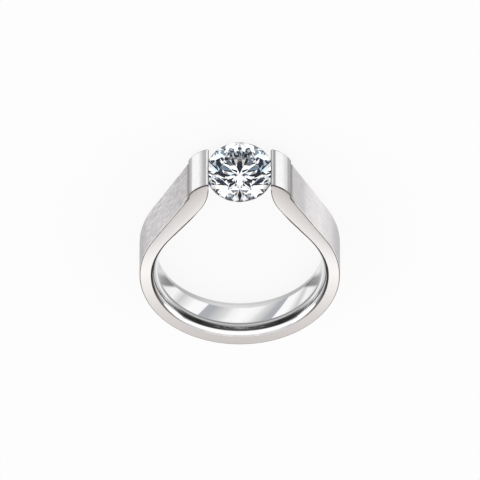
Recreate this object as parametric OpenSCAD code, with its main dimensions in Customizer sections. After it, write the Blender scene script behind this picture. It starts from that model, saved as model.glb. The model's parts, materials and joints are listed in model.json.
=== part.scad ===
// Solitaire engagement ring with a tension setting.
// A one-piece metal band rises in two straight shoulders to two head blocks,
// and the blocks hold a round brilliant by its girdle, each in a narrow groove. The
// stone leans towards the front, so that it faces someone who looks at it from there.
// The ring is drawn upright first, with x across it, y up towards the stone
// and z along the finger. Then it is laid on its side, as it rests on a table:
// it leans on the band's outer edge and on the girdle of the stone.

/* [Finger hole] */
// Inside diameter of the finger hole, 17.3 mm is US size 7
finger_d = 17.3; // [16.9:0.1:17.7]
// Straight middle part of the bore, along the finger
land_w = 2.2; // [1.8:0.1:2.6]
// Radius of the comfort rounding from the bore to each side face
comfort_r = 1.8; // [1.7:0.05:2.2]
// Angle above the level at which the round bore ends and the flanks begin
bore_end = 47; // [46:0.5:49]
// Slope of the rounded lips that run on from the bore up the flanks
lip_slope = 53; // [51:0.5:55]

/* [Band] */
// Wall of the band, from the bore to the round outside
wall = 1.89; // [1.7:0.01:2.1]
// Width of the band along the finger
band_w = 4.84; // [4.6:0.02:5.1]
// Slope of the straight shoulders, measured from the level
shoulder_slope = 60; // [58:0.5:61]

/* [Head blocks] */
// Clear gap between the two blocks
gap = 6.48; // [6.3:0.02:6.6]
// Thickness of a block at its top, across the ring
block_t = 2.12; // [1.9:0.02:2.3]
// Height of the block tops above the centre of the finger hole
block_top = 13.87; // [13.7:0.01:14.2]
// Radius of the crowned top of a block
block_top_r = 3.25; // [2.6:0.05:4.5]
// Height of the small step from a shoulder up to its block
step_h = 0.42; // [0.3:0.02:0.5]
// Bevel on the top edge next to the stone
edge_bevel = 0.16; // [0.08:0.02:0.2]
// Width of the blocks along the finger at their tops
head_w = 5.34; // [5.1:0.02:5.7]
// Slope of the flanks under the blocks, measured from the level
flank_slope = 55.6; // [54:0.2:57]
// Radius of the bend that turns each flank upright
flank_r = 5.9; // [5.4:0.1:6.2]
// Height above the finger hole's centre at which the flanks are upright
flank_top = 13.08; // [12.9:0.02:13.2]

/* [Stone] */
// Diameter of the round brilliant at its girdle
stone_d = 7.05; // [6.8:0.05:7.2]
// Height of the middle of the girdle above the finger hole's centre
girdle_y = 13.05; // [12.97:0.02:13.15]
// Thickness of the girdle where it is thickest
girdle_t = 0.2; // [0.14:0.01:0.26]
// Lean of the stone towards the front, from level
stone_lean = 15; // [0:1:18]
// Width of the table as a share of the stone's diameter
table_share = 0.57; // [0.53:0.01:0.62]
// Slope of the eight kite facets of the crown
crown_angle = 34.5; // [33:0.5:36]
// Slope of the eight main facets of the pavilion
pavilion_angle = 40.8; // [40:0.1:41.6]
// Length of the star facets, as a share of the way from the table to the girdle
star_share = 0.5; // [0.4:0.05:0.6]
// Length of the lower girdle facets, as a share of the way down to the culet
lower_share = 0.77; // [0.7:0.01:0.85]
// Clearance between the girdle and its grooves
groove_gap = 0.03; // [0.02:0.01:0.05]

/* [Hidden] */
round_fn = 180;
mains = 8;
full_step = 360 / mains;
half_step = full_step / 2;
quarter_step = half_step / 2;
arc_steps = 4;
girdle_n = 2 * mains * arc_steps;
girdle_step = 360 / girdle_n;
overshoot = 1;

bore_r = finger_d / 2;
outer_r = bore_r + wall;
half_w = band_w / 2;
block_x = gap / 2 + block_t;
stone_r = stone_d / 2;

// Point at distance r from the origin in the direction of angle a.
function polar(r, a) = [r * cos(a), r * sin(a)];

// The shoulder's face is a straight line tangent to the round outside.
shoulder_start = polar(outer_r, 90 - shoulder_slope);
function shoulder_y(x) = (outer_r - x * sin(shoulder_slope)) / cos(shoulder_slope);
step_foot = [block_x, shoulder_y(block_x)];
step_top = step_foot + [0, step_h];

// The crowned top of a block is an arc through these two points.
block_inner = [gap / 2, block_top];
block_chord = block_inner - step_top;
block_out = [block_chord.y, -block_chord.x] / norm(block_chord);
block_arc_c = (step_top + block_inner) / 2
    - block_out * sqrt(pow(block_top_r, 2) - pow(norm(block_chord) / 2, 2));

// The side faces flare from where the shoulders leave the round band.
flare_start = shoulder_start.y;
flare = (head_w / 2 - half_w) / (block_top - flare_start);
flare_end = block_top + overshoot;
end_w = half_w + flare * (flare_end - flare_start);

// Each flank runs straight from the end of the bore to its upper bend.
flank_bend_c = [gap / 2 + flank_r, flank_top];
flank_bend_start = flank_bend_c - polar(flank_r, 90 - flank_slope);
flank_start = polar(bore_r, bore_end);
lip_normal = 90 - lip_slope;
lip_recess = bore_r * (1 - cos(bore_end - lip_normal)) + 0.02;
lip_up = flank_bend_start * [-cos(lip_slope), sin(lip_slope)] + overshoot;
lip_down = bore_r * tan(bore_end - lip_normal);

// The brilliant's facets, from its proportions.
table_r = table_share * stone_r;
crown_h = (stone_r - table_r) * tan(crown_angle);
table_z = girdle_t / 2 + crown_h;
pavilion_h = stone_r * tan(pavilion_angle);
star_in = table_r * cos(half_step);
star_tip = star_in + star_share * (stone_r - star_in);
star_tip_drop = (star_tip * cos(half_step) - table_r) * tan(crown_angle);
star_slope = atan(star_tip_drop / (star_tip - star_in));
chord_r = stone_r * cos(quarter_step);
upper_slope = atan((crown_h - star_tip_drop) / (chord_r - star_tip * cos(quarter_step)));
lower_tip = (1 - lower_share) * stone_r;
lower_tip_depth = (stone_r - lower_tip * cos(half_step)) * tan(pavilion_angle);
lower_slope = atan(lower_tip_depth / (chord_r - lower_tip * cos(quarter_step)));

// A point of the leaning stone: how far up the ring and how far back it lies, from its
// height along the stone's axis and its distance behind that axis.
function leaned(z, back) = [
    girdle_y + z * cos(stone_lean) + back * sin(stone_lean),
    back * cos(stone_lean) - z * sin(stone_lean)
];

// Lying on its side, the ring touches the table at two places.
stone_foot = leaned(-girdle_t / 2, stone_r);
band_foot = [outer_r, half_w];
rest_tilt = atan((stone_foot.y - band_foot.y) / (stone_foot.x + band_foot.x));
rest_z = band_foot.x * sin(rest_tilt) + band_foot.y * cos(rest_tilt);
table_back = leaned(table_z, table_r);
stone_end = table_back.x * cos(rest_tilt) + table_back.y * sin(rest_tilt);
band_end = outer_r * cos(rest_tilt) + half_w * sin(rest_tilt);
rest_y = (stone_end - band_end) / 2;

// Lays the upright ring on its side, with the middle of its base at the origin.
module lying() {
    translate([0, rest_y, rest_z]) rotate([-rest_tilt, 0, 0]) rotate([0, 0, 180]) children();
}

// Seen along the finger, the band before the finger hole is cut.
module band_outline() {
    circle(r = outer_r, $fn = round_fn);
    polygon([
        [-shoulder_start.x, shoulder_start.y],
        shoulder_start,
        step_foot,
        [-step_foot.x, step_foot.y],
    ]);
    for (side = [0, 1]) mirror([side, 0]) block_outline();
}

module block_outline() {
    intersection() {
        translate(block_arc_c) circle(r = block_top_r, $fn = round_fn);
        polygon([
            [gap / 2, flank_top],
            [gap / 2, block_top - edge_bevel],
            [gap / 2 + edge_bevel, block_top],
            [gap / 2 + edge_bevel, block_top + overshoot],
            [block_x, block_top + overshoot],
            [block_x, step_foot.y - overshoot],
            [gap / 2, step_foot.y - overshoot],
        ]);
    }
}

// Seen across the ring, the parallel band and the flare towards the head.
module side_outline() {
    polygon([
        [-outer_r - overshoot, -half_w],
        [flare_start, -half_w],
        [flare_end, -end_w],
        [flare_end, end_w],
        [flare_start, half_w],
        [-outer_r - overshoot, half_w],
    ]);
}

// Half section of the finger hole: a straight land with a rounding at each end.
module comfort_section() {
    reach = land_w / 2 + comfort_r;
    difference() {
        translate([0, -reach]) square([bore_r + comfort_r, 2 * reach]);
        translate([bore_r, -land_w / 2]) square([2 * comfort_r, land_w]);
        for (end = [-1, 1]) translate([bore_r + comfort_r, end * land_w / 2])
            circle(r = comfort_r, $fn = round_fn);
    }
}

// The opening above the bore, between the two flanks and the two blocks.
module flank_opening() {
    difference() {
        polygon([
            [0, 0],
            flank_start,
            flank_bend_start,
            [flank_bend_start.x, flank_top],
            [gap / 2, flank_top],
            [gap / 2, block_top + overshoot],
            [0, block_top + overshoot],
        ]);
        translate(flank_bend_c) circle(r = flank_r, $fn = round_fn);
    }
}

// The comfort rounding runs on straight up one flank and fades out below the block.
module flank_lip() {
    rotate([90, 0, lip_normal]) translate([-lip_recess, 0, -lip_up])
        linear_extrude(lip_up + lip_down) comfort_section();
}

// Puts the stone's own axis where it stands in the ring.
module in_setting() {
    translate([0, girdle_y, 0]) rotate([stone_lean - 90, 0, 0]) children();
}

// The groove that holds the girdle, turned about the stone's axis.
module girdle_groove() {
    groove_r = stone_r + groove_gap;
    groove_h = girdle_t / 2 + groove_gap;
    in_setting() rotate_extrude($fn = round_fn) polygon([
        [0, -groove_h - groove_r * tan(pavilion_angle)],
        [groove_r, -groove_h],
        [groove_r, groove_h],
        [0, groove_h + groove_r * tan(crown_angle)],
    ]);
}

module band() {
    color("silver") lying() difference() {
        intersection() {
            translate([0, 0, -end_w]) linear_extrude(2 * end_w) band_outline();
            rotate([90, 0, 90]) translate([0, 0, -outer_r - overshoot])
                linear_extrude(2 * (outer_r + overshoot)) side_outline();
        }
        rotate_extrude($fn = round_fn) comfort_section();
        for (side = [0, 1]) mirror([side, 0, 0]) {
            translate([0, 0, -end_w - overshoot]) linear_extrude(2 * (end_w + overshoot))
                flank_opening();
            flank_lip();
        }
        girdle_groove();
    }
}

// A point on the stone: the direction from its axis, the radius and the height.
function at(direction, r, z) = [r * cos(direction), r * sin(direction), z];

// How far a point of the round girdle stands out past the chord of its half facet.
function girdle_sag(i) = stone_r * cos((i % arc_steps) * girdle_step - quarter_step) - chord_r;

// Numbers of the girdle's points along one half facet, in the order of their angle.
function girdle_arc(base, first) = [for (k = [0 : arc_steps]) base + (first + k) % girdle_n];

function reversed(list) = [for (k = [len(list) - 1 : -1 : 0]) list[k]];

// The round brilliant with its axis along z: a table, 8 stars, 8 kites and 16 upper
// halves above the girdle, 16 lower halves and 8 mains below it.
module brilliant() {
    ring = [0 : mains - 1];
    halves = [0 : 2 * mains - 1];
    girdle = [0 : girdle_n - 1];
    points = concat(
        [for (i = ring) at(i * full_step, table_r, table_z)],
        [for (i = ring) at(i * full_step + half_step, star_tip, table_z - star_tip_drop)],
        [for (i = girdle) at(i * girdle_step, stone_r, girdle_t / 2 - girdle_sag(i) * tan(upper_slope))],
        [for (i = girdle) at(i * girdle_step, stone_r, girdle_sag(i) * tan(lower_slope) - girdle_t / 2)],
        [for (i = ring) at(i * full_step + half_step, lower_tip, -girdle_t / 2 - lower_tip_depth)],
        [[0, 0, -girdle_t / 2 - pavilion_h]]
    );
    star = mains;
    upper = star + mains;
    lower = upper + girdle_n;
    tip = lower + girdle_n;
    culet = tip + mains;
    function before(i) = (i + mains - 1) % mains;
    faces = concat(
        [reversed([for (i = ring) i])],
        [for (i = ring) [i, (i + 1) % mains, star + i]],
        [for (i = ring) [i, star + i, upper + 2 * i * arc_steps, star + before(i)]],
        [for (i = halves) concat([star + floor(i / 2)], reversed(girdle_arc(upper, i * arc_steps)))],
        [for (i = girdle) let (j = (i + 1) % girdle_n) [upper + i, upper + j, lower + j, lower + i]],
        [for (i = halves) concat([tip + floor(i / 2)], girdle_arc(lower, i * arc_steps))],
        [for (i = ring) [culet, tip + before(i), lower + 2 * i * arc_steps, tip + i]]
    );
    polyhedron(points = points, faces = faces);
}

module stone() {
    color("azure") lying() in_setting() brilliant();
}

band();
stone();
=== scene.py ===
"""Looks of a solitaire engagement ring with a tension setting.

The band is lofted again with rounded edges, a brushed outside, satin side faces and
a polished bore. The brilliant is cut again facet by facet, and the ring lies on its
side on a pale table, as the solids do. Much of the light and shade on the metal and a
dark line along the girdle are painted into the colours by place, and the stone has a
painted glow deep inside.
"""

import json
import math
from functools import partial

import bmesh
import bpy
from bpy.props import FloatProperty, FloatVectorProperty, IntProperty, PointerProperty
from mathutils import Matrix, Vector


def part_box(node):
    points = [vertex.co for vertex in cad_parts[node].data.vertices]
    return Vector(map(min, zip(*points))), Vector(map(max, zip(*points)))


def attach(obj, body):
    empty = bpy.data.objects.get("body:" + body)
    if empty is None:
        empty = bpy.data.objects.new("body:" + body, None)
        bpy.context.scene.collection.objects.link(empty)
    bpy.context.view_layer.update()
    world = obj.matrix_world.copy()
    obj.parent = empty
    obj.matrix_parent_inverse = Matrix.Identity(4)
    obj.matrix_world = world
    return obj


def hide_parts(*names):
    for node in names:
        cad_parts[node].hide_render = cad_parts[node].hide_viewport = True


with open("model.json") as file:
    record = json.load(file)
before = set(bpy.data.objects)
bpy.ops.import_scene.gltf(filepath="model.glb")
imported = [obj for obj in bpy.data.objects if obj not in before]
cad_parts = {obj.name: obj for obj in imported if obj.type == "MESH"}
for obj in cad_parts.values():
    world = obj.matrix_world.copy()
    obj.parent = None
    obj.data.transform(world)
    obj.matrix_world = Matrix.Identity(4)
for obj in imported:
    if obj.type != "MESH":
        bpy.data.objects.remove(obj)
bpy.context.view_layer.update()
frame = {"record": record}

bl_info = {
    "name": "Tension-set solitaire ring",
    "version": (1, 0, 0),
    "blender": (4, 5, 0),
    "location": "3D View > Sidebar > Ring",
    "description": "Models and finishes a tension-set solitaire ring around its solids",
    "category": "Object",
}

MM = 0.001

# Steps from the bottom of the band to the gap
ROUND_STEPS = 36
RISE_STEPS = 12
BORE_STEPS = 6
FLANK_STEPS = 16
BEND_STEPS = 12
FOOT_STEPS = 2
CROWN_STEPS = 8

# Steps round half a cross-section, from the bore to the outside
ARC_STEPS = 8
SIDE_STEPS = 3
OUTER_STEPS = 2
INNER_CORNER = 1 + ARC_STEPS
OUTER_CORNER = INNER_CORNER + SIDE_STEPS
SECTION_COUNT = 2 * (OUTER_CORNER + OUTER_STEPS)
WIDTH_ROUNDS = 3

# Where the round bore ends and where the straight flank ends, as shares of the shoulder outside them
OVER_BORE = 0.375
OVER_FLANK = 0.875

# Heights between which the inner edge is faired more and more
FAIR_FROM = 0.5 * MM
FAIR_FULL = 4.5 * MM

# How the meshes are cut, rounded, merged and shaded
GROOVE_STEPS = 180
GROOVE_V = 1 * MM
EDGE_SEGMENTS = 4
CUT_SNAP = 0.0002 * MM
MERGE = 1e-7
MIRROR_MERGE = 1e-6
SMOOTH_ANGLE = math.radians(32)
EIGHTH = math.pi / 4

# Zones of the band and of the stone, in the order of their materials
BRUSHED, SATIN_SIDE, SATIN_CROWN, POLISHED, INNER_EDGE, OUTER_EDGE = range(6)
FACET, GIRDLE = range(2)

# The part of a noise's range that is used, and its roughness
NOISE_LOW, NOISE_HIGH = 0.3, 0.7
NOISE_ROUGHNESS = 0.6

# Slant of the painted window reflections in the bore, in radians per millimetre, and the right ones' shift,
# then the slant of the painted dark wedges
SLANT_LEFT = -0.07
SLANT_RIGHT = 0.11
SHIFT_RIGHT = -0.05
WEDGE_SLANT = -0.15

# The painted dark line along the girdle and how ragged it is, then the painted glow deep in the stone and
# what its flecks add
RIM_WIDTH = 0.3
RIM_RAGGED = 0.6
DEEP_DIM = 0.02
DEEP_FLECK = 0.55

# Softness of the edges in the tent, at its sides, up its height and elsewhere, and the viewer's pale rim
SIDE_FADE = 0.25
HEIGHT_FADE = 0.04
SOFT = math.radians(2)
VIEWER_GLOW = 5 * SOFT


def mount(name):
    """The record's entry for a mount."""
    return next(m for m in frame["record"]["mounts"] if m["name"] == name)


FINGER_BORE = mount("finger_bore")


def ring_frame():
    """Turns the upright ring's own axes into the frame: x across, y to the stone, z along the finger."""
    finger = Vector(FINGER_BORE["axis"]).normalized()
    across = Vector((-1, 0, 0))
    to_stone = finger.cross(across)
    axes = Matrix((across, to_stone, finger)).transposed().to_4x4()
    return Matrix.Translation(FINGER_BORE["pos_m"]) @ axes


def length(name, description, default):
    """A length setting, in metres."""
    return FloatProperty(
        name=name, description=description, default=default, min=0, precision=5,
        subtype="DISTANCE", unit="LENGTH",
    )


def angle(name, description, degrees):
    """An angle setting."""
    return FloatProperty(
        name=name, description=description, default=math.radians(degrees),
        subtype="ANGLE", unit="ROTATION",
    )


def share(name, description, default):
    """A setting from 0 to 1."""
    return FloatProperty(name=name, description=description, default=default, min=0, max=1, subtype="FACTOR")


def amount(name, description, default):
    """A plain number as a setting."""
    return FloatProperty(name=name, description=description, default=default, min=0)


def count(name, description, default):
    """A whole number as a setting."""
    return IntProperty(name=name, description=description, default=default, min=1)


def colour(name, description, default):
    """A colour setting."""
    return FloatVectorProperty(
        name=name, description=description, default=default, size=3, min=0, max=1,
        subtype="COLOR",
    )


class BandSettings(bpy.types.PropertyGroup):
    """Sizes and colours of the band."""

    bore_r: length("Bore radius", "Radius of the finger hole", FINGER_BORE["dims"]["r_mm"] * MM)
    land_w: length("Land", "Straight middle part of the bore", FINGER_BORE["dims"]["length_mm"] * MM)
    comfort_r: length("Comfort radius", "Rounding from the bore to the side faces", 1.8 * MM)
    bore_end: angle("Bore end", "Angle above the level at which the round bore ends", 47)
    lip_slope: angle("Lip slope", "Slope of the rounded lips along the flanks", 53)
    wall: length("Wall", "From the bore to the round outside", 1.89 * MM)
    width: length("Width", "Width of the band along the finger", 4.84 * MM)
    shoulder_slope: angle("Shoulder slope", "Slope of the straight shoulders", 60)
    gap: length("Gap", "Clear gap between the two head blocks", 6.48 * MM)
    block_t: length("Block thickness", "Thickness of a block at its top", 2.12 * MM)
    block_top: length("Block top", "Height of the block tops above the bore's centre", 13.87 * MM)
    crown_r: length("Crown radius", "Radius of the crowned block tops", 3.25 * MM)
    step_h: length("Step", "Height of the step from a shoulder to its block", 0.42 * MM)
    edge_bevel: length("Edge bevel", "Bevel on the top edge next to the stone", 0.16 * MM)
    head_w: length("Head width", "Width of the blocks along the finger", 5.34 * MM)
    flank_slope: angle("Flank slope", "Slope at which each flank meets its bend", 55.6)
    flank_r: length("Flank radius", "Radius of the bend that turns each flank upright", 5.9 * MM)
    flank_top: length("Flank top", "Height at which the flanks are upright", 13.08 * MM)
    edge_round: length("Edge rounding", "Rounding of the long edges and of the step", 0.12 * MM)
    fair_share: share("Fairing", "Share of the comfort rounding that fairs the bore into the flanks", 0.24)
    groove_gap: length("Groove gap", "Clearance between the girdle and its grooves", 0.03 * MM)
    brushed: colour("Brushed metal", "Colour of the brushed outside", (0.62, 0.60, 0.605))
    satin: colour("Satin metal", "Colour of the satin side faces", (0.725, 0.715, 0.71))
    crown: colour("Crown metal", "Colour of the satin block tops", (0.70, 0.697, 0.705))
    polished: colour("Polished metal", "Colour of the polished bore", (0.74, 0.74, 0.745))
    # The edges' dark colour is a painted dark reflection, which their painted tones lighten into highlight
    # lines
    edge: colour("Edges", "Colour of the rounded edges", (0.20, 0.18, 0.165))


class StoneSettings(bpy.types.PropertyGroup):
    """Proportions and finish of the round brilliant."""

    girdle_r: length("Girdle radius", "Radius of the stone at its girdle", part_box("stone")[1].x)
    girdle_y: length("Girdle height", "Height of the girdle above the bore's centre", 13.05 * MM)
    girdle_t: length("Girdle thickness", "Thickness of the girdle where it is thickest", 0.20 * MM)
    lean: angle("Lean", "Lean of the stone towards the front, from level", 15)
    table_share: share("Table", "Width of the table as a share of the diameter", 0.57)
    crown_angle: angle("Crown angle", "Slope of the kite facets", 34.5)
    pavilion_angle: angle("Pavilion angle", "Slope of the pavilion's main facets", 40.8)
    star_share: share("Stars", "Length of the star facets on the way from table to girdle", 0.5)
    lower_share: share("Lower halves", "Length of the lower halves on the way down to the culet", 0.77)
    girdle_steps: count("Girdle steps", "Flats round the girdle", 128)
    ior: amount("Refraction", "Index of refraction of diamond", 2.417)
    mirror: share("Surface mirror", "How much of diamond's own mirroring the facets keep", 0.12)
    tint: colour("Tint", "Colour of the clear stone", (0.98, 0.99, 1.0))
    # The deep light is a painted glow, which the stone emits where a ray has been mirrored more than
    # deep_after times
    deep: colour("Deep light", "Colour of light that has been mirrored many times", (0.72, 0.84, 1.0))
    deep_after: count("Deep after", "Reflections that the renderer follows", 4)


class StageSettings(bpy.types.PropertyGroup):
    """Table, lights and camera."""

    view_tilt: angle("View tilt", "Angle between the finger's axis and the line of sight", 46)
    view_width: length("View width", "Width of the picture at the ring", 50.37 * MM)
    view_distance: length("View distance", "From the camera to the ring", 1.4)
    aim_x: length("Aim across", "Middle of the picture, across the ring", 0.026 * MM)
    aim_y: length("Aim up", "Middle of the picture, towards the stone", 2.87 * MM)
    table_size: length("Table size", "Width of the pale table", 3.0)
    table_tone: share("Table tone", "How much light the table scatters", 0.11)
    table_glow: amount("Table glow", "Light that comes up through the table", 0.865)
    tent: amount("Tent", "Brightness of the white tent", 1.0)
    backdrop: amount("Backdrop", "Brightness behind the table", 0.95)
    opening: colour("Opening", "Colour of the tent's dark opening", (0.32, 0.31, 0.30))
    opening_top: angle("Opening top", "Height of the tent's opening above the table", 18)
    opening_side: amount("Opening side", "Where the opening ends at its sides", 0.10)
    viewer_spread: angle("Viewer", "Half the width of the dark disc round the viewer", 20)
    tent_top: angle("Tent top", "Height at which the dark hole in the tent's top begins", 78)
    panel: angle("Panel", "Half the way from one gap between the tent's panels to the next", 10)
    panel_gap: angle("Panel gap", "Half the width of the gaps between the tent's panels", 2.2)
    tier: angle("Tier", "Half the way from one level gap in the tent to the next, up its wall", 9)
    tier_gap: angle("Tier gap", "Half the width of the level gaps in the tent", 1.2)
    sparkle: amount("Sparkle", "Brightness of the tent in the stone", 1.35)
    cool: colour("Cool rim", "Colour of the tent round the viewer's darkness", (0.62, 0.82, 1.0))
    warm: colour("Warm edges", "Colour of the tent beside its level gaps", (1.0, 0.88, 0.78))
    blue: colour("Blue edges", "Colour of the tent beside its upright gaps", (0.70, 0.83, 1.0))
    fringe: angle("Coloured edge", "Width of the coloured edges of the gaps", 0.7)
    shard: colour("Shards", "Colour of the stone's dark shards", (0.004, 0.009, 0.024))
    box_out: length("Box distance", "From the middle of the table to each soft box, sideways", 0.35)
    box_up: length("Box height", "Height of the soft boxes above the table", 0.20)
    box_size: length("Box size", "Width of the square soft boxes", 0.20)
    box_light: amount("Box light", "Brightness of the soft boxes", 1.6)


def smooth_step(t):
    """Goes smoothly from 0 to 1."""
    t = min(max(t, 0), 1)
    return t * t * (3 - 2 * t)


def polar(radius, turn):
    """A point in the ring's plane at a distance from the centre of the bore."""
    return Vector((radius * math.cos(turn), radius * math.sin(turn)))


def between(start, end, steps):
    """Points on a straight line after its start, up to and with its end."""
    return [start.lerp(end, k / steps) for k in range(1, steps + 1)]


def crowded(start, end, steps):
    """Points on a straight line after its start, closest together near the start."""
    return [start.lerp(end, (k / steps) ** 2) for k in range(1, steps + 1)]


def arc(centre, radius, first, last, steps):
    """Points on an arc after its start, up to and with its end."""
    return [centre + polar(radius, first + (last - first) * k / steps) for k in range(1, steps + 1)]


def circle_centre(start, end, radius):
    """Centre of the arc that bulges to the right of the way from start to end."""
    chord = end - start
    inward = Vector((-chord.y, chord.x)).normalized()
    return (start + end) / 2 + inward * math.sqrt(radius**2 - chord.length_squared / 4)


class BandShape:
    """Works out the band's cross-sections from its settings, in the upright ring's axes."""

    def __init__(self, s):
        self.s = s
        self.outer_r = s.bore_r + s.wall
        self.tangent = math.pi / 2 - s.shoulder_slope
        self.shoulder_start = polar(self.outer_r, self.tangent)
        block_x = s.gap / 2 + s.block_t
        foot_y = (self.outer_r - block_x * math.sin(s.shoulder_slope)) / math.cos(s.shoulder_slope)
        self.step_foot = Vector((block_x, foot_y))
        self.step_top = Vector((block_x, foot_y + s.step_h))
        self.flare = (s.head_w - s.width) / 2 / (s.block_top - self.shoulder_start.y)
        self.lip_normal = polar(1, math.pi / 2 - s.lip_slope)
        self.lip_distance = s.bore_r * math.cos(s.bore_end - math.pi / 2 + s.lip_slope)

    def half_width(self, y):
        """Half the width along the finger: the side faces flare above the shoulders' start."""
        return self.s.width / 2 + self.flare * max(0, y - self.shoulder_start.y)

    def outer_path(self):
        """The outside from half way up the ring over the shoulder, the step and the crown to the gap."""
        s = self.s
        crown_end = Vector((s.gap / 2, s.block_top))
        centre = circle_centre(self.step_top, crown_end, s.crown_r)
        first = self.step_top - centre
        last = Vector((s.gap / 2 + s.edge_bevel, 0))
        last.y = centre.y + math.sqrt(s.crown_r**2 - (last.x - centre.x) ** 2)
        turn_first = math.atan2(first.y, first.x)
        turn_last = math.atan2(last.y - centre.y, last.x - centre.x)
        flank_begins = self.shoulder_start.lerp(self.step_foot, OVER_BORE)
        flank_ends = self.shoulder_start.lerp(self.step_foot, OVER_FLANK)
        return (
            arc(Vector((0, 0)), self.outer_r, 0, self.tangent, RISE_STEPS)
            + between(self.shoulder_start, flank_begins, BORE_STEPS)
            + crowded(flank_begins, flank_ends, FLANK_STEPS)
            + between(flank_ends, self.step_foot, FOOT_STEPS)
            + [self.step_top]
            + arc(centre, s.crown_r, turn_first, turn_last, CROWN_STEPS)
            + [Vector((s.gap / 2, s.block_top - s.edge_bevel))]
        )

    def inner_path(self):
        """The inside from half way up the ring along the bore, the flank and its bend."""
        s = self.s
        bend_centre = Vector((s.gap / 2 + s.flank_r, s.flank_top))
        bend_turn = math.pi + math.pi / 2 - s.flank_slope
        bend_start = bend_centre + polar(s.flank_r, bend_turn)
        return (
            arc(Vector((0, 0)), s.bore_r, 0, self.tangent, RISE_STEPS)
            + arc(Vector((0, 0)), s.bore_r, self.tangent, s.bore_end, BORE_STEPS)
            + crowded(polar(s.bore_r, s.bore_end), bend_start, FLANK_STEPS)
            + arc(bend_centre, s.flank_r, bend_turn, math.pi, BEND_STEPS)
        )

    def comfort_depth(self, z):
        """How far the comfort rounding has fallen away at a place along the finger."""
        beyond = max(0, abs(z) - self.s.land_w / 2)
        return self.s.comfort_r - math.sqrt(self.s.comfort_r**2 - beyond**2)

    def bore_cut(self, inner):
        """The comfort rounding about the bore, a little shallower where it runs over into a flank."""
        fairing = self.s.fair_share * smooth_step((inner.y - FAIR_FROM) / (FAIR_FULL - FAIR_FROM))
        return inner.normalized(), self.s.bore_r, 1 - fairing

    def section(self, outer, inner, cuts):
        """A closed cross-section between an outer and an inner point of the ring's plane."""
        s = self.s
        outward = (outer - inner).normalized()

        def cut(z):
            """Where the comfort rounding meets the section at a place along the finger."""
            depth = self.comfort_depth(z)
            reach = [
                (depth * share_kept + distance - inner.dot(normal)) / outward.dot(normal)
                for normal, distance, share_kept in cuts
            ]
            return inner + outward * max(0, *reach)

        side_z = self.half_width(inner.y)
        for _ in range(WIDTH_ROUNDS):
            side_z = self.half_width(cut(side_z).y)
        normal, distance, _ = cuts[0]
        fallen = min(max(inner.dot(normal) - distance, 0), s.comfort_r)
        arc_start = s.land_w / 2 + math.sqrt(s.comfort_r**2 - (s.comfort_r - fallen) ** 2)
        arc_end = side_z - 2 * s.edge_round
        arc_start = min(arc_start, arc_end - s.edge_round)
        side = cut(side_z)
        half = [(inner, 0)]
        for k in range(ARC_STEPS):
            z = arc_start + (arc_end - arc_start) * k / (ARC_STEPS - 1)
            half.append((cut(z), z))
        half.append((side, side_z))
        half += [(p, self.half_width(p.y)) for p in between(side, outer, SIDE_STEPS)]
        half += [(outer, self.half_width(outer.y) * (1 - k / OUTER_STEPS)) for k in range(1, OUTER_STEPS + 1)]
        other = [(p, -z) for p, z in reversed(half[1:-1])]
        return [Vector((p.x, p.y, z)) for p, z in half + other]

    def first_section(self):
        """The cross-section at the bottom of the ring."""
        down = Vector((0, -1))
        inner = down * self.s.bore_r
        return self.section(down * self.outer_r, inner, [self.bore_cut(inner)])

    def head_sections(self):
        """The cross-sections from half way up the ring to the gap."""
        s = self.s
        sections = []
        for k, (outer, inner) in enumerate(zip(self.outer_path(), self.inner_path())):
            cuts = []
            if k < RISE_STEPS + BORE_STEPS:
                cuts.append(self.bore_cut(inner))
            if math.atan2(inner.y, inner.x) > math.pi / 2 - s.lip_slope:
                cuts.append((self.lip_normal, self.lip_distance, 1))
            sections.append(self.section(outer, inner, cuts))
        return sections


def half_place(i):
    """A section point's number counted from the middle of the land, on either side."""
    return min(i, SECTION_COUNT - i)


def closed_loop(bm, points):
    """Draws a closed loop of edges and numbers its points in the layer named around."""
    around = bm.verts.layers.int["around"]
    verts = [bm.verts.new(p) for p in points]
    for i, v in enumerate(verts):
        v[around] = i
    edges = [bm.edges.new((v, verts[(i + 1) % len(verts)])) for i, v in enumerate(verts)]
    return verts, edges


def parts_of(geometry, kind):
    """The vertices, edges or faces in an operator's result."""
    return [g for g in geometry if isinstance(g, kind)]


def loft_half_band(bm, shape):
    """Spins the round part from the bottom up and extrudes the shoulder and head from it."""
    around = bm.verts.layers.int.new("around")
    verts, edges = closed_loop(bm, shape.first_section())
    spun = bmesh.ops.spin(
        bm, geom=verts + edges, cent=(0, 0, 0), axis=(0, 0, 1),
        angle=math.pi / 2, steps=ROUND_STEPS,
    )
    front = parts_of(spun["geom_last"], bmesh.types.BMEdge)
    for points in shape.head_sections():
        grown = bmesh.ops.extrude_edge_only(bm, edges=front)["geom"]
        front = parts_of(grown, bmesh.types.BMEdge)
        front = [e for e in front if e.verts[0][around] != e.verts[1][around]]
        for v in parts_of(grown, bmesh.types.BMVert):
            v.co = points[v[around]]
    bmesh.ops.contextual_create(bm, geom=front)


def zone_of(face, around, shape):
    """The finish of a face, from its place round the cross-section."""
    places = [half_place(v[around]) for v in face.verts]
    middle = sum(places) / len(places)
    if middle < INNER_CORNER:
        return POLISHED
    if middle < OUTER_CORNER:
        return SATIN_SIDE
    if face.calc_center_median().y > shape.step_top.y:
        return SATIN_CROWN
    return BRUSHED


def corner_edges(bm, corner):
    """The long edges that run along one corner of the cross-section, front and back."""
    around = bm.verts.layers.int["around"]
    return [e for e in bm.edges if all(half_place(v[around]) == corner for v in e.verts)]


def round_edges(bm, edges, offset, zone):
    """Rounds edges and gives the rounding its own finish."""
    rounded = bmesh.ops.bevel(
        bm, geom=edges, offset=offset, offset_type="OFFSET", segments=EDGE_SEGMENTS, profile=0.5,
        affect="EDGES", clamp_overlap=False, material=-1,
    )
    for face in rounded["faces"]:
        face.material_index = zone


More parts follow.
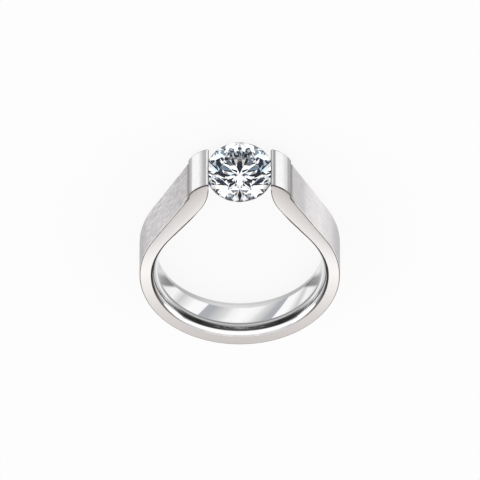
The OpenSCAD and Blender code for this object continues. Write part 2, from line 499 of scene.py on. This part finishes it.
def build_band(s):
    """The whole band as a mesh, laid down as it rests."""
    shape = BandShape(s)
    bm = bmesh.new()
    loft_half_band(bm, shape)
    around = bm.verts.layers.int["around"]
    for face in bm.faces:
        face.material_index = zone_of(face, around, shape)
    round_edges(bm, corner_edges(bm, INNER_CORNER), s.edge_round, INNER_EDGE)
    step_edges = [
        e for e in bm.edges
        if all(
            (v.co.xy - shape.step_top).length < CUT_SNAP and half_place(v[around]) >= OUTER_CORNER
            for v in e.verts
        )
    ]
    round_edges(bm, corner_edges(bm, OUTER_CORNER) + step_edges, s.edge_round, OUTER_EDGE)
    bmesh.ops.mirror(bm, geom=bm.verts[:] + bm.edges[:] + bm.faces[:], axis="X", merge_dist=MIRROR_MERGE)
    bmesh.ops.remove_doubles(bm, verts=bm.verts, dist=MERGE)
    bmesh.ops.recalc_face_normals(bm, faces=bm.faces)
    bmesh.ops.transform(bm, matrix=ring_frame(), verts=bm.verts)
    return as_object(bm, "band_metalwork")


def as_object(bm, name):
    """Turns a bmesh into an object at the origin."""
    mesh = bpy.data.meshes.new(name)
    bm.to_mesh(mesh)
    bm.free()
    mesh.shade_smooth()
    mesh.set_sharp_from_angle(angle=SMOOTH_ANGLE)
    obj = bpy.data.objects.new(name, mesh)
    bpy.context.collection.objects.link(obj)
    return obj


def setting_place(s):
    """Turns the stone's own axes, z along its axis, into the frame."""
    up_the_ring = Matrix.Translation((0, s.girdle_y, 0))
    return ring_frame() @ up_the_ring @ Matrix.Rotation(s.lean - math.pi / 2, 4, "X")


def groove_cutter(gap, stone):
    """A ring with a V section about the stone's axis, for the girdle's two grooves."""
    reach = stone.girdle_r + gap
    half = stone.girdle_t / 2 + gap
    near = reach - GROOVE_V
    low = -half - GROOVE_V * math.tan(stone.pavilion_angle)
    high = half + GROOVE_V * math.tan(stone.crown_angle)
    bm = bmesh.new()
    bm.verts.layers.int.new("around")
    profile = [(near, low), (reach, -half), (reach, half), (near, high)]
    verts, edges = closed_loop(bm, [(x, 0, z) for x, z in profile])
    bmesh.ops.spin(
        bm, geom=verts + edges, cent=(0, 0, 0), axis=(0, 0, 1), angle=2 * math.pi, steps=GROOVE_STEPS,
        use_merge=True,
    )
    bmesh.ops.remove_doubles(bm, verts=bm.verts, dist=MERGE)
    bmesh.ops.recalc_face_normals(bm, faces=bm.faces)
    bmesh.ops.transform(bm, matrix=setting_place(stone), verts=bm.verts)
    return as_object(bm, "groove_cutter")


def cut_away(obj, cutter):
    """Cuts one object with another and removes the cutter."""
    cut = obj.modifiers.new("cut", "BOOLEAN")
    cut.operation = "DIFFERENCE"
    cut.solver = "EXACT"
    cut.object = cutter
    graph = bpy.context.evaluated_depsgraph_get()
    mesh = bpy.data.meshes.new_from_object(obj.evaluated_get(graph))
    obj.modifiers.clear()
    old = obj.data
    obj.data = mesh
    bpy.data.meshes.remove(old)
    bpy.data.objects.remove(cutter)
    mesh.set_sharp_from_angle(angle=SMOOTH_ANGLE)


class Nodes:
    """Short calls to add and join nodes, for the materials and the world."""

    def __init__(self, tree):
        self.tree = tree

    def add(self, kind):
        """Adds a node."""
        return self.tree.nodes.new(kind)

    def join(self, source, target):
        """Joins an output socket to an input socket."""
        self.tree.links.new(source, target)

    def feed(self, socket, value):
        """Joins an output to an input socket, or sets a number or a colour there."""
        if isinstance(value, bpy.types.NodeSocket):
            self.join(value, socket)
        else:
            socket.default_value = (*value, 1) if socket.type == "RGBA" else value

    def math(self, operation, *values):
        """A calculation with sockets and numbers."""
        node = self.add("ShaderNodeMath")
        node.operation = operation
        for socket, value in zip(node.inputs, values):
            self.feed(socket, value)
        return node.outputs[0]

    def mapped(self, value, start, end, low=0, high=1, way="LINEAR"):
        """Takes a value from one range to another and keeps it in there."""
        node = self.add("ShaderNodeMapRange")
        node.interpolation_type = way
        settings = {"Value": value, "From Min": start, "From Max": end, "To Min": low, "To Max": high}
        for key, setting in settings.items():
            self.feed(node.inputs[key], setting)
        return node.outputs["Result"]

    def blend(self, factor, first, second, kind="MIX"):
        """Goes from one colour to another by a factor. Each of the three may be a socket."""
        node = self.add("ShaderNodeMix")
        node.data_type = "RGBA"
        node.blend_type = kind
        for key, value in (("Factor", factor), ("A", first), ("B", second)):
            self.feed(node.inputs[key], value)
        return node.outputs["Result"]

    def split(self, vector):
        """The three parts of a vector."""
        node = self.add("ShaderNodeSeparateXYZ")
        self.join(vector, node.inputs["Vector"])
        return node.outputs


class NodeSheet(Nodes):
    """A material's nodes."""

    def __init__(self, name):
        self.material = bpy.data.materials.new(name)
        self.material.use_nodes = True
        super().__init__(self.material.node_tree)
        self.shader = self.tree.nodes["Principled BSDF"]

    def set(self, name, value):
        """Sets one of the shader's inputs, or joins a socket to it."""
        self.feed(self.shader.inputs[name], value)

    def coordinates(self, scale):
        """Object coordinates in the upright ring's axes, stretched by a scale."""
        place = self.add("ShaderNodeTexCoord")
        turn = self.add("ShaderNodeMapping")
        flat = ring_frame().inverted()
        turn.inputs["Location"].default_value = flat.to_translation()
        turn.inputs["Rotation"].default_value = flat.to_euler()
        self.join(place.outputs["Object"], turn.inputs["Vector"])
        stretch = self.add("ShaderNodeMapping")
        stretch.inputs["Scale"].default_value = scale
        self.join(turn.outputs["Vector"], stretch.inputs["Vector"])
        return stretch.outputs["Vector"]

    def noise(self, scale, detail=3.0):
        """A noise stretched along the ring's axes, as a value from 0 to 1."""
        node = self.add("ShaderNodeTexNoise")
        node.inputs["Scale"].default_value = 1.0
        node.inputs["Detail"].default_value = detail
        node.inputs["Roughness"].default_value = NOISE_ROUGHNESS
        self.join(self.coordinates(scale), node.inputs["Vector"])
        return node.outputs["Fac"]

    def spread(self, value, low, high):
        """Maps a noise to a range."""
        return self.mapped(value, NOISE_LOW, NOISE_HIGH, low, high)

    def axes(self):
        """The place across the ring, towards the stone and along the finger, in millimetres."""
        return self.split(self.coordinates((1 / MM,) * 3))

    def tones(self, value, stops):
        """A colour that follows a value through stops of place and colour."""
        first, last = stops[0][0], stops[-1][0]
        ramp = self.add("ShaderNodeValToRGB")
        elements = ramp.color_ramp.elements
        while len(elements) < len(stops):
            elements.new(0.5)
        for element, (place, tone) in zip(elements, stops):
            element.position = (place - first) / (last - first)
            element.color = (*tone, 1) if isinstance(tone, tuple) else (tone, tone, tone, 1)
        self.join(self.mapped(value, first, last), ramp.inputs["Fac"])
        return ramp.outputs["Color"]

    def times(self, first, second):
        """Multiplies two colours."""
        return self.blend(1.0, first, second, "MULTIPLY")

    def bump(self, value, height):
        """A bump of a height in metres."""
        node = self.add("ShaderNodeBump")
        node.inputs["Strength"].default_value = 1.0
        node.inputs["Distance"].default_value = height
        self.join(value, node.inputs["Height"])
        self.set("Normal", node.outputs["Normal"])


def shaded(base, factor):
    """A colour made lighter or darker."""
    return tuple(min(1, c * factor) for c in base)


def metal(name, base, contrast, grain, rough, height, tones):
    """White gold with its own colour spread, grain, roughness and bump, and light and shade painted into its
    colour by place.
    """
    sheet = NodeSheet(name)
    sheet.set("Metallic", 1.0)
    lines = sheet.noise(grain)
    tone = sheet.spread(lines, 0, 1)
    grained = sheet.blend(tone, shaded(base, 1 - contrast), shaded(base, 1 + contrast))
    sheet.set("Base Color", sheet.times(grained, tones(sheet)))
    sheet.set("Roughness", sheet.spread(lines, *rough))
    sheet.bump(lines, height)
    return sheet.material


def painted_shoulder_light(sheet):
    """Painted light on the brushed outside: a painted highlight on the right shoulder, painted shade at the
    turn of each side and in the step's corners, evenly dim underneath.
    """
    across, up, _ = sheet.axes()
    streaks = sheet.spread(sheet.noise((1300, 1300, 7000), 2.5), 0, 1)
    strong = sheet.blend(streaks, (0.70,) * 3, (1.30,) * 3)
    weak = sheet.blend(streaks, (0.94,) * 3, (1.06,) * 3)
    painted_broad_light = sheet.tones(across, [
        (-10.6, 0.50), (-10.1, 0.74), (-9.5, 0.98), (-8, 1.02), (-6.5, 0.90), (-5.4, 0.92),
        (5.4, 0.92), (6.6, 0.96), (7.1, 1.22), (8.4, 1.34), (9.5, 1.14), (10.0, 0.85), (10.6, 0.6),
    ])
    is_upper = sheet.tones(up, [(-5, 0), (0, 1)])
    painted_broad_light = sheet.blend(is_upper, (0.92,) * 3, painted_broad_light)
    # Painted shade: a dark line in the corner of each step at the head
    corner = sheet.tones(sheet.math("ABSOLUTE", across), [(5.36, 0.30), (5.46, 0.65), (5.6, 1)])
    is_head = sheet.tones(up, [(5, 0), (8, 1)])
    lined = sheet.times(painted_broad_light, sheet.blend(is_head, (1, 1, 1), corner))
    # The grain's contrast is strong on the left shoulder and faint on the right, standing in for how light
    # falls on each
    is_right = sheet.tones(across, [(-2, 0), (2, 1)])
    return sheet.times(lined, sheet.blend(is_right, strong, weak))


def painted_side_light(shape, sheet):
    """Painted light on the satin side: palest half way up and darker towards the bottom and the head, and
    from the shoulders up painted shade along the outer edge that lightens inward.
    """
    across, up, _ = sheet.axes()
    painted_broad_light = sheet.tones(up, [
        (-10.6, (0.81, 0.775, 0.755)), (-6, (0.96, 0.925, 0.915)), (0.5, (1.32, 1.305, 1.30)),
        (6, (1.12, 1.09, 1.085)), (13.5, (0.91, 0.875, 0.865)),
    ])
    # Painted shade along the outer edge of the side, lightening inward
    width = sheet.math("MULTIPLY", sheet.math("ABSOLUTE", across), math.sin(shape.s.shoulder_slope))
    from_outside = sheet.math("SUBTRACT", shape.outer_r / MM, width)
    inward = sheet.math("MULTIPLY_ADD", up, -math.cos(shape.s.shoulder_slope), from_outside)
    painted_wall_light = sheet.tones(inward, [(0.05, 0.80), (0.5, 0.92), (1.1, 1.0), (1.6, 1.1), (1.9, 1.16)])
    is_flank = sheet.tones(up, [(1, 0), (5, 1)])
    return sheet.times(painted_broad_light, sheet.blend(is_flank, (1, 1, 1), painted_wall_light))


def painted_crown_light(sheet):
    """Painted light on the crowned tops: a painted highlight band, painted shade fading grey to the stone, a
    painted highlight on the last edge and dark painted lines at the ends.
    """
    across, _, _ = sheet.axes()
    return sheet.tones(across, [
        (-5.35, 0.3), (-5.2, 0.62), (-5.05, 0.74), (-4.92, 1.38), (-4.3, 1.36), (-3.8, 0.70),
        (-3.52, 0.66), (-3.47, 1.42), (-3.38, 1.42), (-3.31, 0.5), (-3.25, 0.15),
        (3.25, 0.15), (3.31, 0.5), (3.37, 1.0), (3.44, 1.0), (3.56, 0.42), (3.66, 0.5),
        (3.82, 1.38), (4.4, 1.38), (4.95, 0.98), (5.04, 0.55), (5.2, 0.62), (5.35, 0.25),
    ])


def painted_bore_reflections(sheet):
    """Painted reflections in the polished bore: bright window reflections and dark wedges on its land,
    painted shade on its back rounding, and a dark band and a white lip in front.
    """
    across, up, along = sheet.axes()
    signed = sheet.math("ARCTAN2", across, sheet.math("MULTIPLY", up, -1.0))
    turn = sheet.math("ABSOLUTE", signed)
    right = sheet.math("GREATER_THAN", signed, 0.0)
    slant = sheet.math("MULTIPLY_ADD", right, SLANT_RIGHT - SLANT_LEFT, SLANT_LEFT)
    slanted = sheet.math("ADD", turn, sheet.math("MULTIPLY", along, slant))
    slanted = sheet.math("MULTIPLY_ADD", right, SHIFT_RIGHT, slanted)
    # A cool grey for the painted reflection between the bright window reflections
    cool = (0.58, 0.60, 0.64)
    painted_windows = sheet.tones(slanted, [
        (0, 1.35), (0.12, 1.25), (0.2, 0.98), (0.30, 0.76), (0.36, cool), (0.455, cool), (0.475, 1.38),
        (0.62, 1.36), (0.80, 0.84), (0.92, 1.30), (1.08, 1.2), (1.3, 0.9), (1.4, 0.64), (1.6, 0.70),
    ])
    painted_wedge = sheet.tones(sheet.math("MULTIPLY_ADD", along, WEDGE_SLANT, turn), [
        (1.04, 1), (1.10, 0.20), (1.25, 0.22), (1.36, 1),
    ])
    # Painted shade on the back rounding, lighter just behind the land
    back = sheet.tones(turn, [
        (0, 0.92), (0.2, 0.86), (0.4, 0.80), (0.6, 0.60), (0.8, 0.52), (0.95, 0.50), (1.1, 0.70),
        (1.3, 0.78), (1.6, 1.0),
    ])
    shade = sheet.tones(along, [(-2.3, 0.90), (-1.75, 0.92), (-1.5, 1.10), (-1.1, 1.14)])
    # Painted dark and light lines of reflection across the front rounding, in the middle, at the sides and on
    # the flanks
    painted_band_line = sheet.tones(along, [
        (1.0, 1.0), (1.06, 0.46), (1.22, 0.36), (1.30, 0.76), (1.38, 0.70), (1.50, 0.46), (1.6, 0.36),
        (1.95, 0.36), (2.05, 1.38), (2.6, 1.38),
    ])
    painted_side_line = sheet.tones(along, [
        (1.0, 1.0), (1.1, 0.40), (1.3, 0.34), (1.5, 1.2), (1.9, 1.0), (2.1, 1.0), (2.24, 0.7), (2.32, 0.30),
        (2.6, 0.25),
    ])
    painted_flank_line = sheet.tones(along, [(1.0, 1.0), (1.5, 1.15), (2.0, 1.3), (2.6, 1.3)])
    painted_side_line = sheet.blend(sheet.tones(turn, [(1.75, 0), (2.1, 1)]), painted_side_line, painted_flank_line)
    painted_deepening = sheet.tones(turn, [(0, 1.0), (0.12, 0.95), (0.3, 0.45), (0.5, 0.14), (0.7, 0.3), (0.85, 0.9)])
    in_band = sheet.tones(along, [(1.44, 0), (1.54, 1), (1.94, 1), (2.06, 0)])
    banded = sheet.blend(in_band, painted_band_line, sheet.times(painted_band_line, painted_deepening))
    front = sheet.blend(sheet.tones(turn, [(0.78, 0), (1.08, 1)]), banded, painted_side_line)
    is_back = sheet.tones(along, [(-1.2, 1), (-1.05, 0)])
    is_front = sheet.tones(along, [(1.0, 0), (1.06, 1)])
    land = sheet.times(painted_windows, painted_wedge)
    return sheet.blend(is_front, sheet.blend(is_back, land, sheet.times(back, shade)), front)


def past_side(shape, sheet, up, along):
    """How far a place along the finger lies past the side face, in millimetres."""
    above = sheet.math("MAXIMUM", sheet.math("SUBTRACT", up, shape.shoulder_start.y / MM), 0.0)
    half_width = sheet.math("MULTIPLY_ADD", above, shape.flare, shape.s.width / 2 / MM)
    return sheet.math("SUBTRACT", sheet.math("ABSOLUTE", along), half_width)


def painted_inner_edge_light(shape, sheet):
    """Painted light on the inner rounding, whose dark base stands for a dark reflection: darkest beside the
    middle of the hole, with painted highlights at the bottom and a pale painted highlight line along the
    flanks.
    """
    _, up, along = sheet.axes()
    around = [(-9.3, (3.6, 3.9, 4.3)), (-8, (3.2, 3.5, 3.9)), (-5.5, 1.3), (-2.5, 0.35), (0, 0.15)]
    dark = sheet.tones(up, around + [(6, 0.25), (9, 0.6), (14, 1.2)])
    light = sheet.tones(up, around + [(3, 0.2), (5.5, (3.4, 3.7, 4.0)), (11, (3.4, 3.7, 4.0)), (14, 2.0)])
    is_side = sheet.tones(past_side(shape, sheet, up, along), [(-0.08, 0), (-0.05, 1)])
    return sheet.blend(is_side, light, dark)


def painted_outer_edge_light(shape, sheet):
    """Painted light on the outer rounding: a dark painted reflection, with a painted white highlight line on
    the shoulders' side of it.
    """
    _, up, along = sheet.axes()
    dark = sheet.tones(up, [
        (-11, 0.5), (-9.5, 0.9), (-8, 1.5), (-3, 1.5), (2, 1.2), (6, 1.3), (11, 0.9), (14, 0.5),
    ])
    # The pale tone of the painted highlight line
    pale = (4.2, 4.7, 5.1)
    light = sheet.tones(up, [(-6, 1.2), (-1, 2.5), (3, pale), (10.9, pale), (11.3, 0.8), (14, 0.5)])
    is_side = sheet.tones(past_side(shape, sheet, up, along), [(-0.05, 0), (-0.03, 1)])
    return sheet.blend(is_side, light, dark)


def band_materials(s):
    """The finishes of the band, in the order of their zones, each with light and shade painted in by place.
    """
    shape = BandShape(s)
    # The rounded edges share a dark base colour for a painted dark reflection
    edge = partial(
        metal, base=s.edge, contrast=0.15, grain=(900,) * 3, rough=(0.10, 0.16), height=0.0003 * MM,
    )
    return [
        metal(
            "brushed_white_gold", s.brushed, contrast=0.12, grain=(800, 800, 8000), rough=(0.28, 0.42),
            height=0.003 * MM, tones=painted_shoulder_light,
        ),
        metal(
            "satin_side_white_gold", s.satin, contrast=0.015, grain=(6000,) * 3, rough=(0.28, 0.34),
            height=0.0008 * MM, tones=partial(painted_side_light, shape),
        ),
        metal(
            "satin_crown_white_gold", s.crown, contrast=0.05, grain=(7000, 7000, 1200), rough=(0.22, 0.30),
            height=0.001 * MM, tones=painted_crown_light,
        ),
        metal(
            "polished_white_gold", s.polished, contrast=0.01, grain=(900,) * 3, rough=(0.04, 0.08),
            height=0.0004 * MM, tones=painted_bore_reflections,
        ),
        edge("inner_edge_white_gold", tones=partial(painted_inner_edge_light, shape)),
        edge("outer_edge_white_gold", tones=partial(painted_outer_edge_light, shape)),
    ]


class RING_OT_band(bpy.types.Operator):
    """Lofts the band, cuts the girdle's grooves and finishes each of its surfaces"""

    bl_idname = "ring.band"
    bl_label = "Band"

    def execute(self, context):
        s = context.scene.ring_band
        band = build_band(s)
        cut_away(band, groove_cutter(s.groove_gap, context.scene.ring_stone))
        for material in band_materials(s):
            band.data.materials.append(material)
        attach(band, "root")
        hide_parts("band")
        return {"FINISHED"}


class BrilliantShape:
    """Works out the brilliant's facets from its proportions, with its axis along z."""

    def __init__(self, s):
        self.s = s
        half, quarter = EIGHTH / 2, EIGHTH / 4
        self.rim_z = s.girdle_t / 2
        self.table_r = s.table_share * s.girdle_r
        crown_h = (s.girdle_r - self.table_r) * math.tan(s.crown_angle)
        self.table_z = self.rim_z + crown_h
        self.star_in = self.table_r * math.cos(half)
        star_tip = self.star_in + s.star_share * (s.girdle_r - self.star_in)
        star_drop = (star_tip * math.cos(half) - self.table_r) * math.tan(s.crown_angle)
        self.star_slope = math.atan(star_drop / (star_tip - self.star_in))
        self.chord_r = s.girdle_r * math.cos(quarter)
        upper_run = self.chord_r - star_tip * math.cos(quarter)
        self.upper_slope = math.atan((crown_h - star_drop) / upper_run)
        lower_tip = (1 - s.lower_share) * s.girdle_r
        lower_rise = (s.girdle_r - lower_tip * math.cos(half)) * math.tan(s.pavilion_angle)
        self.lower_slope = math.atan(lower_rise / (self.chord_r - lower_tip * math.cos(quarter)))

    def facets(self):
        """Each facet's turn about the axis, its slope, and the radius and height of a point on it."""
        s = self.s
        eighths = [k * EIGHTH for k in range(8)]
        sixteenths = [(k + 0.5) * EIGHTH / 2 for k in range(16)]
        table = [(0, 0, 0, self.table_z)]
        kites = [(turn, s.crown_angle, self.table_r, self.table_z) for turn in eighths]
        stars = [(turn + EIGHTH / 2, self.star_slope, self.star_in, self.table_z) for turn in eighths]
        uppers = [(turn, self.upper_slope, self.chord_r, self.rim_z) for turn in sixteenths]
        mains = [(turn, math.pi - s.pavilion_angle, s.girdle_r, -self.rim_z) for turn in eighths]
        lowers = [(turn, math.pi - self.lower_slope, self.chord_r, -self.rim_z) for turn in sixteenths]
        return table + kites + stars + uppers + mains + lowers


def cut_facet(bm, turn, slope, radius, height):
    """Cuts one flat facet across the stone and closes the cut."""
    outward = Vector((*polar(math.sin(slope), turn), math.cos(slope)))
    bmesh.ops.bisect_plane(
        bm, geom=bm.verts[:] + bm.edges[:] + bm.faces[:], dist=CUT_SNAP,
        plane_co=(*polar(radius, turn), height), plane_no=outward, clear_outer=True,
    )
    closed = bmesh.ops.holes_fill(bm, edges=[e for e in bm.edges if e.is_boundary], sides=0)
    for face in closed["faces"]:
        face.material_index = FACET


def build_brilliant(s):
    """Cuts the brilliant from a round blank, facet by facet."""
    bm = bmesh.new()
    blank_h = 4 * s.girdle_r
    bmesh.ops.create_cone(
        bm, cap_ends=True, segments=s.girdle_steps, radius1=s.girdle_r, radius2=s.girdle_r, depth=blank_h,
    )
    for face in bm.faces:
        face.material_index = GIRDLE
    for facet in BrilliantShape(s).facets():
        cut_facet(bm, *facet)
    bmesh.ops.remove_doubles(bm, verts=bm.verts, dist=CUT_SNAP)
    bmesh.ops.dissolve_degenerate(bm, edges=bm.edges, dist=CUT_SNAP)
    bmesh.ops.recalc_face_normals(bm, faces=bm.faces)
    bmesh.ops.transform(bm, matrix=setting_place(s), verts=bm.verts)
    stone = as_object(bm, "brilliant")
    stone.data.shade_flat()
    return stone


def tint_with_painted_rim(sheet, s):
    """The stone is clear inside, with painted shade in a thin, ragged dark line along its girdle."""
    across, up, along = sheet.axes()
    above = sheet.math("MULTIPLY", sheet.math("SUBTRACT", up, s.girdle_y / MM), math.sin(s.lean))
    behind = sheet.math("MULTIPLY_ADD", along, -math.cos(s.lean), above)
    squares = sheet.math("MULTIPLY_ADD", across, across, sheet.math("MULTIPLY", behind, behind))
    inward = sheet.math("SUBTRACT", s.girdle_r / MM - RIM_WIDTH, sheet.math("SQRT", squares))
    ragged = sheet.math("MULTIPLY_ADD", sheet.noise((3000,) * 3, 1.0), RIM_RAGGED, inward)
    return sheet.tones(ragged, [(0, (0.03, 0.035, 0.04)), (0.05, (0.12, 0.13, 0.15)), (0.14, tuple(s.tint))])


def diamond(name, s, rough, polish):
    """Clear diamond, with the faint lines of its polish, a painted dark line along its girdle and a weak
    painted glow deep inside.
    """
    sheet = NodeSheet(name)
    sheet.set("Base Color", tint_with_painted_rim(sheet, s))
    sheet.set("IOR", s.ior)
    sheet.set("Transmission Weight", 1.0)
    sheet.set("Specular Tint", (s.mirror,) * 3)
    lines = sheet.noise((900, 9000, 900))
    sheet.set("Roughness", sheet.spread(lines, *rough))
    sheet.bump(lines, polish)
    # A painted glow: faint light, brighter in flecks, emitted where a ray has been mirrored more than
    # deep_after times
    sheet.set("Emission Color", s.deep)
    reflections = sheet.add("ShaderNodeLightPath").outputs["Glossy Depth"]
    is_deep = sheet.math("GREATER_THAN", reflections, s.deep_after + 0.5)
    flecks = sheet.math("GREATER_THAN", sheet.noise((1600,) * 3, 0.0), 0.5)
    painted_glint = sheet.math("MULTIPLY_ADD", flecks, DEEP_FLECK, DEEP_DIM)
    sheet.set("Emission Strength", sheet.math("MULTIPLY", is_deep, painted_glint))
    sheet.material.cycles.emission_sampling = "NONE"
    return sheet.material


class RING_OT_stone(bpy.types.Operator):
    """Cuts the round brilliant and gives its facets and its girdle their finishes"""

    bl_idname = "ring.stone"
    bl_label = "Stone"

    def execute(self, context):
        s = context.scene.ring_stone
        stone = build_brilliant(s)
        stone.data.materials.append(diamond("polished_diamond", s, (0.0, 0.004), 0.000002 * MM))
        stone.data.materials.append(diamond("frosted_girdle", s, (0.35, 0.5), 0.0005 * MM))
        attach(stone, "root")
        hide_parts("stone")
        return {"FINISHED"}


def softbox(name, side, s):
    """A square soft light on one side of the ring, which faces the middle of the table."""
    light = bpy.data.lights.new(name, "AREA")
    light.shape = "SQUARE"
    light.size = s.box_size
    light.energy = s.box_light * math.pi * s.box_size**2
    obj = bpy.data.objects.new(name, light)
    obj.location = (side * s.box_out, 0, s.box_up)
    obj.rotation_euler = obj.location.to_track_quat("Z", "Y").to_euler()
    bpy.context.collection.objects.link(obj)


class StudioSky(Nodes):
    """The world's nodes: a white tent with dark openings, which the metal and the stone mirror."""

    def __init__(self):
        world = bpy.data.worlds.new("studio")
        bpy.context.scene.world = world
        world.use_nodes = True
        super().__init__(world.node_tree)
        self.background = self.tree.nodes["Background"]
        self.direction = self.add("ShaderNodeTexCoord").outputs["Generated"]
        self.x, self.y, self.z = self.split(self.direction)

    def step(self, value, start, end):
        """Goes smoothly from 0 to 1 as a value goes from start to end."""
        return self.mapped(value, start, end, way="SMOOTHSTEP")

    def edge(self, value, place, soft):
        """Goes smoothly from 0 to 1 where a value passes a place."""
        return self.step(value, place - soft, place + soft)

    def toward(self, direction):
        """How closely the sky's direction agrees with another, from -1 to 1."""
        node = self.add("ShaderNodeVectorMath")
        node.operation = "DOT_PRODUCT"
        node.inputs[1].default_value = direction
        self.join(self.direction, node.inputs[0])
        return node.outputs["Value"]


def viewer_direction(s):
    """From the ring towards the viewer."""
    toward = Vector((0, math.sin(s.view_tilt), math.cos(s.view_tilt)))
    return ring_frame().to_3x3() @ toward


def studio_world(s):
    """A white tent. The metal mirrors its low opening, and rays that leave the stone meet its gaps."""
    sky = StudioSky()
    side = sky.step(sky.y, -s.opening_side, -s.opening_side - SIDE_FADE)
    low = sky.step(sky.z, math.sin(s.opening_top) + HEIGHT_FADE, math.sin(s.opening_top) - HEIGHT_FADE)
    on_metal = sky.blend(sky.math("MULTIPLY", side, low), (s.tent,) * 3, s.opening)
    viewer = sky.toward(viewer_direction(s))
    shadow = sky.step(viewer, math.cos(s.viewer_spread + SOFT), math.cos(s.viewer_spread - SOFT))
    top = sky.step(sky.z, math.sin(s.tent_top - SOFT), math.sin(s.tent_top + SOFT))
    turn = sky.math("ARCTAN2", sky.x, sky.math("MULTIPLY", sky.y, -1.0))
    panel = sky.math("PINGPONG", turn, s.panel)
    gaps = sky.edge(panel, s.panel - s.panel_gap, SOFT / 2)
    tier = sky.math("PINGPONG", sky.math("ARCSINE", sky.z), s.tier)
    level_gaps = sky.edge(tier, s.tier - s.tier_gap, SOFT / 4)
    dark = sky.math("MAXIMUM", sky.math("MAXIMUM", shadow, top), sky.math("MAXIMUM", gaps, level_gaps))
    glow = sky.step(viewer, math.cos(s.viewer_spread + VIEWER_GLOW), math.cos(s.viewer_spread))
    bright = sky.blend(glow, (s.sparkle,) * 3, s.cool)
    beside_level = sky.edge(tier, s.tier - s.tier_gap - s.fringe, SOFT / 4)
    beside_gaps = sky.edge(panel, s.panel - s.panel_gap - s.fringe, SOFT / 4)
    bright = sky.blend(beside_gaps, sky.blend(beside_level, bright, s.warm), s.blue)
    in_stone = sky.blend(dark, bright, s.shard)
    ray = sky.add("ShaderNodeLightPath")
    mirrored = sky.blend(ray.outputs["Is Transmission Ray"], on_metal, in_stone)
    shown = sky.blend(ray.outputs["Is Camera Ray"], mirrored, (s.backdrop,) * 3)
    sky.join(shown, sky.background.inputs["Color"])


def paper_table(s):
    """A pale matt table."""
    bm = bmesh.new()
    bmesh.ops.create_grid(bm, x_segments=1, y_segments=1, size=s.table_size / 2)
    table = as_object(bm, "table")
    sheet = NodeSheet("pale_table")
    sheet.set("Base Color", (s.table_tone,) * 3)
    sheet.set("Roughness", 1.0)
    sheet.set("Specular IOR Level", 0.0)
    sheet.set("Emission Color", (1, 1, 1))
    sheet.set("Emission Strength", s.table_glow)
    table.data.materials.append(sheet.material)


def long_lens_camera(s):
    """A camera at the photo's angle to the ring, with the stone at the top of the picture."""
    to_row = ring_frame()
    back = viewer_direction(s)
    top = to_row.to_3x3() @ Vector((0, math.cos(s.view_tilt), -math.sin(s.view_tilt)))
    right = top.cross(back)
    aim = to_row @ Vector((s.aim_x, s.aim_y, 0))
    data = bpy.data.cameras.new("camera")
    data.sensor_width = 36
    data.lens = data.sensor_width * s.view_distance / s.view_width
    camera = bpy.data.objects.new("camera", data)
    axes = Matrix((right, top, back)).transposed().to_4x4()
    camera.matrix_world = Matrix.Translation(aim + back * s.view_distance) @ axes
    bpy.context.collection.objects.link(camera)
    bpy.context.scene.camera = camera


class RING_OT_stage(bpy.types.Operator):
    """Sets the table, the soft lights and the camera"""

    bl_idname = "ring.stage"
    bl_label = "Stage"

    def execute(self, context):
        s = context.scene.ring_stage
        paper_table(s)
        studio_world(s)
        softbox("left_box", -1, s)
        softbox("right_box", 1, s)
        long_lens_camera(s)
        context.scene.view_settings.view_transform = "Standard"
        return {"FINISHED"}


class RING_PT_parts(bpy.types.Panel):
    """Lists the ring's pieces and its stage"""

    bl_idname = "RING_PT_parts"
    bl_label = "Solitaire ring"
    bl_space_type = "VIEW_3D"
    bl_region_type = "UI"
    bl_category = "Ring"

    def draw(self, context):
        for operator in (RING_OT_band, RING_OT_stone, RING_OT_stage):
            self.layout.operator(operator.bl_idname)


CLASSES = (
    BandSettings, StoneSettings, StageSettings,
    RING_OT_band, RING_OT_stone, RING_OT_stage, RING_PT_parts,
)


def register():
    """Registers the classes and hangs their settings on the scene."""
    for cls in CLASSES:
        bpy.utils.register_class(cls)
    bpy.types.Scene.ring_band = PointerProperty(type=BandSettings)
    bpy.types.Scene.ring_stone = PointerProperty(type=StoneSettings)
    bpy.types.Scene.ring_stage = PointerProperty(type=StageSettings)


def unregister():
    """Takes the settings and the classes away again."""
    del bpy.types.Scene.ring_stage
    del bpy.types.Scene.ring_stone
    del bpy.types.Scene.ring_band
    for cls in reversed(CLASSES):
        bpy.utils.unregister_class(cls)


def main():
    """Makes the pieces and the stage."""
    register()
    bpy.ops.ring.band()
    bpy.ops.ring.stone()
    bpy.ops.ring.stage()


if __name__ == "__main__":
    main()
